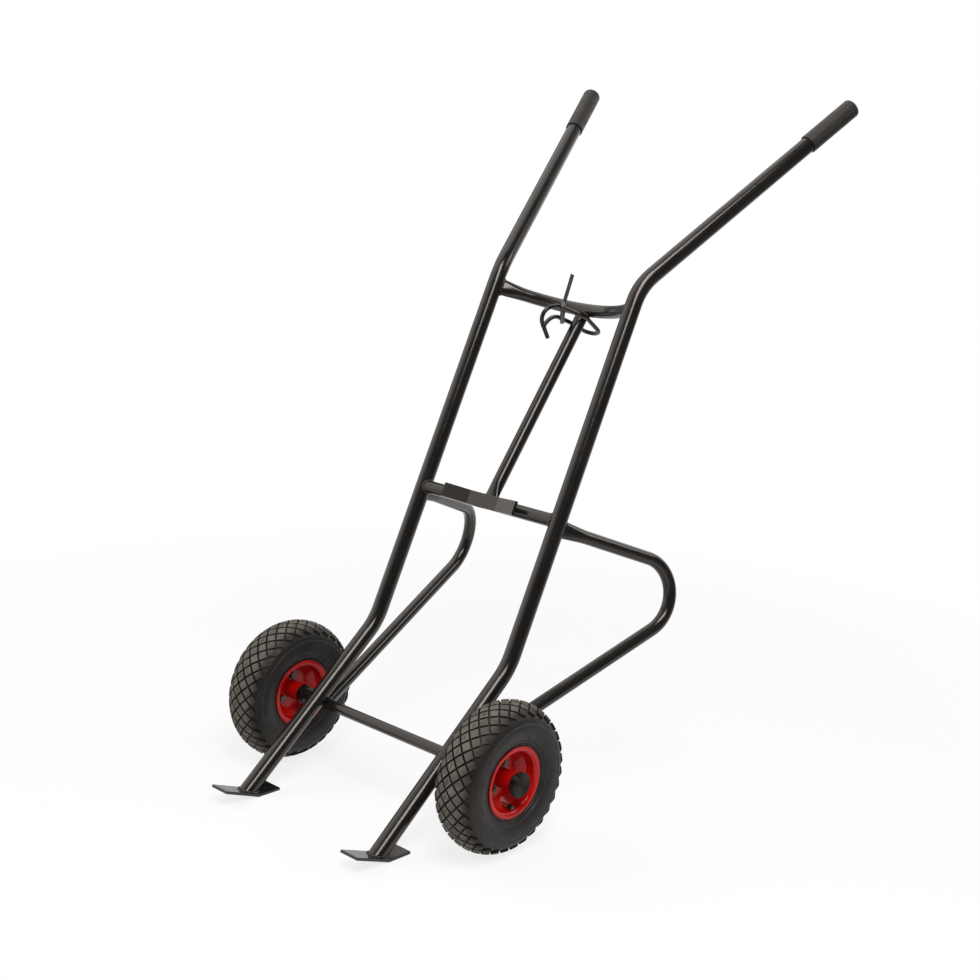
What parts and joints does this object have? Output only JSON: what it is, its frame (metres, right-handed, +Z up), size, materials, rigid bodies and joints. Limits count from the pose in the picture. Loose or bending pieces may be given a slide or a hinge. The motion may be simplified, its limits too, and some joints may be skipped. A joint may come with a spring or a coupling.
{
  "type": "drum trolley",
  "caption": "Two-wheeled hand truck for steel drums: bent tubular frame with toe strips, pneumatic wheels, rear loops, splayed handles and a sliding rim hook.",
  "frame": {"origin": "on the floor, in the middle of the trolley's width and length", "axes": "+Z up, +Y back towards the handles, +X to the right as seen from the toe side"},
  "size_m": [0.6486, 1.0614, 1.2584],
  "materials": {
    "black_paint": "gloss black paint on steel",
    "red_paint": "gloss red paint on pressed steel",
    "grip_vinyl": "matt soft vinyl",
    "tyre_rubber": "matt tyre rubber",
    "tube_rubber": "smooth butyl rubber",
    "black_plastic": "moulded nylon",
    "zinc_steel": "zinc plated steel",
    "valve_brass": "turned brass"
  },
  "bodies": {
    "frame": {"upper_crossbar": "black_paint", "middle_crossbar": "black_paint", "centre_tube": "black_paint", "drum_saddle": "black_paint", "axle": "black_paint", "left_side_rail": "black_paint", "left_grip": "grip_vinyl", "left_toe_strip": "black_paint", "left_rear_loop": "black_paint", "left_outer_washer": "zinc_steel", "left_inner_washer": "zinc_steel", "left_stop_ring": "black_paint", "left_hub_cap": "black_plastic", "right_side_rail": "black_paint", "right_grip": "grip_vinyl", "right_toe_strip": "black_paint", "right_rear_loop": "black_paint", "right_outer_washer": "zinc_steel", "right_inner_washer": "zinc_steel", "right_stop_ring": "black_paint", "right_hub_cap": "black_plastic"},
    "left_wheel": {"left_tyre": "tyre_rubber", "left_inner_tube": "tube_rubber", "left_valve_stem": "valve_brass", "left_valve_cap": "black_plastic", "left_rim_outer": "red_paint", "left_rim_inner": "red_paint", "left_rim_bolts": "zinc_steel", "left_rim_nuts": "zinc_steel", "left_hub": "red_paint", "left_bush_outer": "black_plastic", "left_bush_inner": "black_plastic"},
    "right_wheel": {"right_tyre": "tyre_rubber", "right_inner_tube": "tube_rubber", "right_valve_stem": "valve_brass", "right_valve_cap": "black_plastic", "right_rim_outer": "red_paint", "right_rim_inner": "red_paint", "right_rim_bolts": "zinc_steel", "right_rim_nuts": "zinc_steel", "right_hub": "red_paint", "right_bush_outer": "black_plastic", "right_bush_inner": "black_plastic"},
    "hook": {"drum_hook": "black_paint", "cable_tie": "black_plastic"}
  },
  "joints": [
    {"name": "left_wheel_spin", "type": "hinge", "parent": "frame", "child": "left_wheel", "pos_m": [-0.2633, -0.28946, 0.13], "axis": [1, 0, 0], "continuous": true},
    {"name": "right_wheel_spin", "type": "hinge", "parent": "frame", "child": "right_wheel", "pos_m": [0.2633, -0.28946, 0.13], "axis": [1, 0, 0], "continuous": true},
    {"name": "hook_slide", "type": "slide", "parent": "frame", "child": "hook", "axis": [0, -0.568, -0.823], "range_m": [0, 0.25]}
  ]
}
